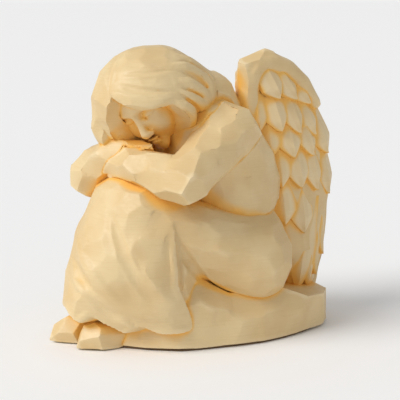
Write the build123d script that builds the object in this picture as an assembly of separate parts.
from build123d import *
from math import cos, radians, sin
import os

# Seated angel figurine, cast in resin as separate pieces that are pinned and glued together.
# Frame: millimetres, +Z up, the figure faces -Y and its left side is +X.
# The origin is on the table, on the plinth's middle line, below the lap.

# ---- driving dimensions -------------------------------------------------------------------
PLINTH_LENGTH = 96.0
PLINTH_WIDTH = 59.0
PLINTH_HEIGHT = 15.0
PLINTH_BACK = 59.0
PAD_THICKNESS = 0.8
PAD_INSET = 2.0

SKIRT_WIDTH = 52.0
SKIRT_HEM_HEIGHT = 7.0
KNEE_TOP = 65.0
THIGH_THICKNESS = 29.0
HIP_WIDTH = 61.0
WAIST_HEIGHT = 53.0

SHOULDER_WIDTH = 43.0
NECK_HEIGHT = 95.0
ARM_THICKNESS = 17.0

FACE_WIDTH = 31.0
HAIR_WIDTH = 43.0
HAIR_THICKNESS = 4.5

WING_TOP = 112.0
WING_THICKNESS = 12.0
WING_STEP_BACK = 2.0
WING_STEP_DOWN = 4.0

FOOT_WIDTH = 12.5
FOOT_LENGTH = 24.0

PIN_DIAMETER = 3.0
PIN_LENGTH = 14.0
SMALL_PIN_LENGTH = 10.0
SOCKET_CLEARANCE = 0.1

# ---- joint points of the body, (x, y, z); the right side mirrors x where it is the same ------
KNEE = Vector(8.5, -26, KNEE_TOP - 13)
HIP = Vector(15, 17, 32)
SHOULDER = Vector(SHOULDER_WIDTH / 2 - 3, 8, NECK_HEIGHT - 13)
LEFT_ELBOW = Vector(27, -17, KNEE_TOP + 1)
LEFT_WRIST = Vector(8, -28, KNEE_TOP + 4)
LEFT_FINGERTIPS = Vector(-9, -31, KNEE_TOP + 2)
RIGHT_ELBOW = Vector(-25, -31, KNEE_TOP - 2)
RIGHT_WRIST = Vector(-9, -30, KNEE_TOP + 8)
RIGHT_FINGERTIPS = Vector(7, -24, KNEE_TOP + 11)
HEAD = Vector(0, -17, KNEE_TOP + 26.5)
LEFT_FOOT = Vector(1.5, -37.5, PAD_THICKNESS)
RIGHT_FOOT = Vector(-11.5, -42, PAD_THICKNESS)


def facet(*corners):
    """One flat face through its corner points."""
    return Face(Wire.make_polygon(corners, close=True))


def carved(rings):
    """A closed faceted solid through flat rings that all have the same number of points."""
    faces = [facet(*rings[0]), facet(*rings[-1])]
    count = len(rings[0])
    for lower, upper in zip(rings, rings[1:]):
        for i in range(count):
            j = (i + 1) % count
            faces.append(facet(lower[i], lower[j], upper[j]))
            faces.append(facet(lower[i], upper[j], upper[i]))
    return Solid(Shell(faces))


def level_ring(middle, width, depth, sides):
    """A level oval ring of points around a middle point."""
    angles = [radians(360 / sides * (i + 0.5)) for i in range(sides)]
    return [middle + Vector(width / 2 * cos(a), depth / 2 * sin(a), 0) for a in angles]


def stack(levels, sides=14):
    """A faceted solid from levels of (middle y, height, width, depth, middle x)."""
    return carved([level_ring(Vector(x, y, z), w, d, sides) for y, z, w, d, x in levels])


def limb(points, widths, sides=9):
    """A faceted limb through its middle points, with a width at each."""
    rings = []
    for i, (point, width) in enumerate(zip(points, widths)):
        before = points[max(i - 1, 0)]
        after = points[min(i + 1, len(points) - 1)]
        along = (after - before).normalized()
        across = along.cross(Vector(0, 0, 1)).normalized()
        upward = across.cross(along)
        angles = [radians(360 / sides * k) for k in range(sides)]
        rings.append([point + (across * cos(a) + upward * sin(a)) * (width / 2) for a in angles])
    return carved(rings)


def beyond(start, end, distance):
    """The point that lies a distance past the end of a line, on the same line."""
    return end + (end - start).normalized() * distance


def mirrored(point):
    """The same joint point on the other side of the figure."""
    return Vector(-point.X, point.Y, point.Z)


def largest(shape):
    """The main solid that is left of a piece after its neighbours are cut away."""
    return max(shape.solids(), key=lambda solid: solid.volume)


def without(piece, *neighbours):
    """A piece with the room that its neighbours take cut away, so that they meet face to face."""
    for neighbour in neighbours:
        piece = largest(piece - neighbour)
    return piece


def pin(middle, along, length, extra_radius=0.0):
    """A round pin centred on a point; extra radius makes the socket that takes it."""
    return Plane(origin=middle, z_dir=along) * Cylinder(PIN_DIAMETER / 2 + extra_radius, length)


def socketed(piece, places, length):
    """A piece with a socket for each pin place, as deep as the pin is long."""
    for middle, along in places:
        piece = piece - pin(middle, along, length, SOCKET_CLEARANCE)
    return piece


# ---- plinth and felt pad ----------------------------------------------------------------------
def plinth_outline(height, inset):
    """The plinth's outline: a rounded back, widest under the seat, and a narrower front."""
    back = PLINTH_BACK - inset
    front = PLINTH_BACK - PLINTH_LENGTH + inset
    half = PLINTH_WIDTH / 2 - inset
    shares = [(0.0, 0.20), (0.09, 0.50), (0.20, 0.79), (0.34, 0.90), (0.54, 1.0)]
    shares += [(0.68, 0.96), (0.81, 0.83), (0.93, 0.62), (1.0, 0.24)]
    left = [Vector(half * share, front + (back - front) * along, height) for along, share in shares]
    right = [mirrored(point) for point in reversed(left)]
    return left + right


def make_plinth():
    """The resin plinth, with a broad foot and a top that is cut back by facets."""
    top = PAD_THICKNESS + PLINTH_HEIGHT
    return carved([
        plinth_outline(PAD_THICKNESS, 0.8),
        plinth_outline(PAD_THICKNESS + PLINTH_HEIGHT * 0.2, 0.0),
        plinth_outline(PAD_THICKNESS + PLINTH_HEIGHT * 0.75, 1.5),
        plinth_outline(top, 7.0),
    ])


def make_felt_pad():
    """The thin felt pad under the plinth, set in from its edge."""
    return extrude(facet(*plinth_outline(0, PAD_INSET)), PAD_THICKNESS, dir=(0, 0, 1))


# ---- gown: skirt over the shins, lap and seat in one casting ------------------------------------
def make_gown():
    """The gown's casting: skirt from hem to knees, two thighs, and the seat up to the waist."""
    skirt = stack([
        (-23, SKIRT_HEM_HEIGHT, SKIRT_WIDTH * 0.94, 46, 0),
        (-24, 14, SKIRT_WIDTH, 52, 0),
        (-20, 30, SKIRT_WIDTH * 0.96, 50, 0),
        (-20, 46, SKIRT_WIDTH * 0.84, 46, 0),
        (-22, KNEE_TOP - 8, SKIRT_WIDTH * 0.78, 36, 0),
        (-25, KNEE_TOP, SKIRT_WIDTH * 0.42, 18, 0),
    ])
    middle = KNEE + (HIP - KNEE) * 0.5 + Vector(1.5, 0, -2)
    route = [beyond(middle, KNEE, 4), middle, HIP, beyond(middle, HIP, 10)]
    widths = [THIGH_THICKNESS * share for share in (0.72, 1.0, 1.15, 0.75)]
    left_thigh = limb(route, widths)
    right_thigh = limb([mirrored(point) for point in route], widths)
    seat = stack([
        (18, PAD_THICKNESS + PLINTH_HEIGHT * 0.7, HIP_WIDTH * 0.82, 34, 0),
        (18, 22, HIP_WIDTH, 43, 0),
        (18, 35, HIP_WIDTH, 42, 0),
        (20, WAIST_HEIGHT - 6, HIP_WIDTH * 0.80, 34, 0),
        (21, WAIST_HEIGHT, HIP_WIDTH * 0.62, 27, 0),
    ])
    return largest(skirt + left_thigh + right_thigh + seat)


# ---- torso, head and hair ---------------------------------------------------------------------
def make_torso():
    """The torso's casting: it leans forward from the waist to the neck."""
    return stack([
        (18, WAIST_HEIGHT - 7, SHOULDER_WIDTH * 0.84, 33, 0),
        (13, WAIST_HEIGHT + 9, SHOULDER_WIDTH * 0.92, 46, 0),
        (9, NECK_HEIGHT - 21, SHOULDER_WIDTH * 0.98, 45, 0),
        (6, NECK_HEIGHT - 11, SHOULDER_WIDTH, 35, 0),
        (3, NECK_HEIGHT - 4, SHOULDER_WIDTH * 0.66, 21, 0),
        (-1, NECK_HEIGHT, SHOULDER_WIDTH * 0.36, 13, 0),
    ])


def make_head():
    """The head with its face and a short neck, tipped forward on to the folded arms."""
    skull = stack([
        (HEAD.Y - 5, HEAD.Z - 19, FACE_WIDTH * 0.40, 12, HEAD.X + 2),
        (HEAD.Y - 4, HEAD.Z - 12, FACE_WIDTH * 0.80, 24, HEAD.X + 1),
        (HEAD.Y - 2, HEAD.Z, FACE_WIDTH, 33, HEAD.X),
        (HEAD.Y, HEAD.Z + 10, FACE_WIDTH * 0.92, 32, HEAD.X),
        (HEAD.Y, HEAD.Z + 18, FACE_WIDTH * 0.50, 18, HEAD.X),
    ])
    neck = limb([HEAD, Vector(0, 3, NECK_HEIGHT - 6)], [17, 17])
    return largest(skull + neck)


def make_hair():
    """The hair's casting: a cap over the skull, a mass swept to the nape and two side locks."""
    cap = stack([
        (HEAD.Y + 2, HEAD.Z - 3, HAIR_WIDTH * 0.92, 36, HEAD.X),
        (HEAD.Y - 1, HEAD.Z + 5, HAIR_WIDTH, 43, HEAD.X),
        (HEAD.Y - 1, HEAD.Z + 14, HAIR_WIDTH * 0.88, 38, HEAD.X),
        (HEAD.Y, HEAD.Z + 18 + HAIR_THICKNESS, HAIR_WIDTH * 0.42, 18, HEAD.X),
    ])
    nape_route = [HEAD + Vector(0, 6, 6), Vector(1, 9, NECK_HEIGHT - 1), Vector(2, 14, NECK_HEIGHT - 9)]
    nape = limb(nape_route, [30, 22, 13])
    lock_end = SHOULDER + (LEFT_ELBOW - SHOULDER) * 0.5 + Vector(-9, 0, 4)
    left_lock = limb([HEAD + Vector(13, 2, 6), HEAD + Vector(14, 6, -6), lock_end], [15, 12, 8])
    right_route = [HEAD + Vector(-16, -6, 5), HEAD + Vector(-17, -8, -6), HEAD + Vector(-16, -10, -17)]
    right_lock = limb(right_route, [12, 11, 7])
    return largest(cap + nape + left_lock + right_lock)


# ---- arms ----------------------------------------------------------------------------------
def make_arm(shoulder, elbow, wrist, fingertips):
    """One arm with its sleeve and hand, folded across the knees."""
    route = [beyond(elbow, shoulder, 4), shoulder, elbow, wrist, fingertips]
    widths = [ARM_THICKNESS * share for share in (0.75, 1.12, 1.0, 0.86, 0.40)]
    return limb(route, widths)


# ---- wings -----------------------------------------------------------------------------------
def wing_section(height, front, back, bulge):
    """One level section of the left wing: flat inside, swelling outside, thin at the back."""
    outside = [(0.0, 0.0), (0.0, 0.70), (0.22, 1.0), (0.50, 1.0), (0.76, 0.78), (1.0, 0.40)]
    inside = [(1.0, 0.0), (0.5, 0.0)]
    return [Vector(bulge * out, front + (back - front) * along, height) for along, out in outside + inside]


def make_left_wing():
    """The left wing, folded behind the back, from its tip on the plinth to its arched top."""
    return carved([
        wing_section(PLINTH_HEIGHT - 3, 40, 55, WING_THICKNESS * 0.9),
        wing_section(30, 37, 62, WING_THICKNESS * 1.1),
        wing_section(45, 34, 65, WING_THICKNESS * 1.2),
        wing_section(60, 31, 66, WING_THICKNESS * 1.2),
        wing_section(72, 28, 64.5, WING_THICKNESS * 1.15),
        wing_section(WING_TOP - 26, 19, 60, WING_THICKNESS),
        wing_section(WING_TOP - 15, 17, 54.5, WING_THICKNESS * 0.9),
        wing_section(WING_TOP - 6, 18.5, 45, WING_THICKNESS * 0.8),
        wing_section(WING_TOP, 25, 35, WING_THICKNESS * 0.6),
    ])


def make_right_wing(left_wing):
    """The right wing: the left one mirrored, set a little lower and further back."""
    return mirror(left_wing, about=Plane.YZ).moved(Location((0, WING_STEP_BACK, -WING_STEP_DOWN)))


# ---- feet ------------------------------------------------------------------------------------
def make_foot(middle):
    """One foot: a plain wedge, high at the instep and low at the toe."""
    half = FOOT_WIDTH / 2
    sections = [(0.5, 11.0, 0.80), (0.15, 13.0, 0.95), (-0.25, 10.0, 1.0), (-0.45, 4.5, 0.75)]
    rings = []
    for along, height, share in sections:
        y = FOOT_LENGTH * along
        corners = [(1, 0), (1, 0.45), (0.45, 1), (-0.45, 1), (-1, 0.45), (-1, 0)]
        rings.append([middle + Vector(half * share * x, y, height * z) for x, z in corners])
    return carved(rings)


# ---- pin places, each a middle point and a direction --------------------------------------------
NECK_PINS = [(Vector(0, -1, NECK_HEIGHT - 6), Vector(0, -2, 1))]
ARM_PINS = [
    (SHOULDER + Vector(-3, 1, 1), Vector(1, 0, 0)),
    (mirrored(SHOULDER) + Vector(3, 1, 1), Vector(1, 0, 0)),
]
WAIST_PINS = [(Vector(side * 8, 20, WAIST_HEIGHT), Vector(0, 0, 1)) for side in (-1, 1)]
WING_PINS = []
for side in (1, -1):
    for height, back in ((58, 36), (72, 32)):
        WING_PINS.append((Vector(side * WING_THICKNESS * 0.55, back, height), Vector(0, 1, 0)))
SEAT_PLACES = [(-14, 18), (14, 18), (0, -14)]
SEAT_PINS = [(Vector(x, y, PAD_THICKNESS + PLINTH_HEIGHT * 0.7), Vector(0, 0, 1)) for x, y in SEAT_PLACES]
FOOT_PINS = [(foot + Vector(0, FOOT_LENGTH / 2, 4.5), Vector(0, 1, 0)) for foot in (LEFT_FOOT, RIGHT_FOOT)]


# ---- the pieces, each cut to meet those that were fitted before it ------------------------------
left_foot = make_foot(LEFT_FOOT)
right_foot = make_foot(RIGHT_FOOT)
gown = without(make_gown(), left_foot, right_foot)
torso = without(make_torso(), gown)
right_arm = without(make_arm(mirrored(SHOULDER), RIGHT_ELBOW, RIGHT_WRIST, RIGHT_FINGERTIPS), gown, torso)
left_arm = without(make_arm(SHOULDER, LEFT_ELBOW, LEFT_WRIST, LEFT_FINGERTIPS), gown, torso, right_arm)
head = without(make_head(), torso, right_arm, left_arm)
hair = without(make_hair(), head, torso, right_arm, left_arm)
plain_wing = make_left_wing()
left_wing = without(plain_wing, torso, gown, left_arm, hair)
right_wing = without(make_right_wing(plain_wing), torso, gown, right_arm, hair)
plinth = without(make_plinth(), gown, left_wing, right_wing, left_foot, right_foot)

gown = socketed(socketed(gown, WAIST_PINS, PIN_LENGTH), SEAT_PINS, PIN_LENGTH)
gown = socketed(gown, FOOT_PINS, SMALL_PIN_LENGTH)
torso = socketed(socketed(torso, WAIST_PINS, PIN_LENGTH), ARM_PINS, SMALL_PIN_LENGTH)
torso = socketed(socketed(torso, NECK_PINS, PIN_LENGTH), WING_PINS, PIN_LENGTH)
head = socketed(head, NECK_PINS, PIN_LENGTH)
left_arm = socketed(left_arm, ARM_PINS, SMALL_PIN_LENGTH)
right_arm = socketed(right_arm, ARM_PINS, SMALL_PIN_LENGTH)
left_wing = socketed(left_wing, WING_PINS, PIN_LENGTH)
right_wing = socketed(right_wing, WING_PINS, PIN_LENGTH)
plinth = socketed(socketed(plinth, SEAT_PINS, PIN_LENGTH), FOOT_PINS, SMALL_PIN_LENGTH)
left_foot = socketed(left_foot, FOOT_PINS, SMALL_PIN_LENGTH)
right_foot = socketed(right_foot, FOOT_PINS, SMALL_PIN_LENGTH)


def pins(places, length):
    """All the pins of one joint, as separate solids in one node."""
    return Compound(children=[pin(middle, along, length) for middle, along in places])


nodes = {
    "plinth": plinth,
    "felt_pad": make_felt_pad(),
    "gown": gown,
    "torso": torso,
    "head": head,
    "hair": hair,
    "left_arm": left_arm,
    "right_arm": right_arm,
    "left_wing": left_wing,
    "right_wing": right_wing,
    "left_foot": left_foot,
    "right_foot": right_foot,
    "neck_pin": pins(NECK_PINS, PIN_LENGTH),
    "arm_pins": pins(ARM_PINS, SMALL_PIN_LENGTH),
    "waist_pins": pins(WAIST_PINS, PIN_LENGTH),
    "wing_pins": pins(WING_PINS, PIN_LENGTH),
    "seat_pins": pins(SEAT_PINS, PIN_LENGTH),
    "foot_pins": pins(FOOT_PINS, SMALL_PIN_LENGTH),
}

os.makedirs("parts", exist_ok=True)
for name, shape in nodes.items():
    export_step(shape, f"parts/{name}.step")
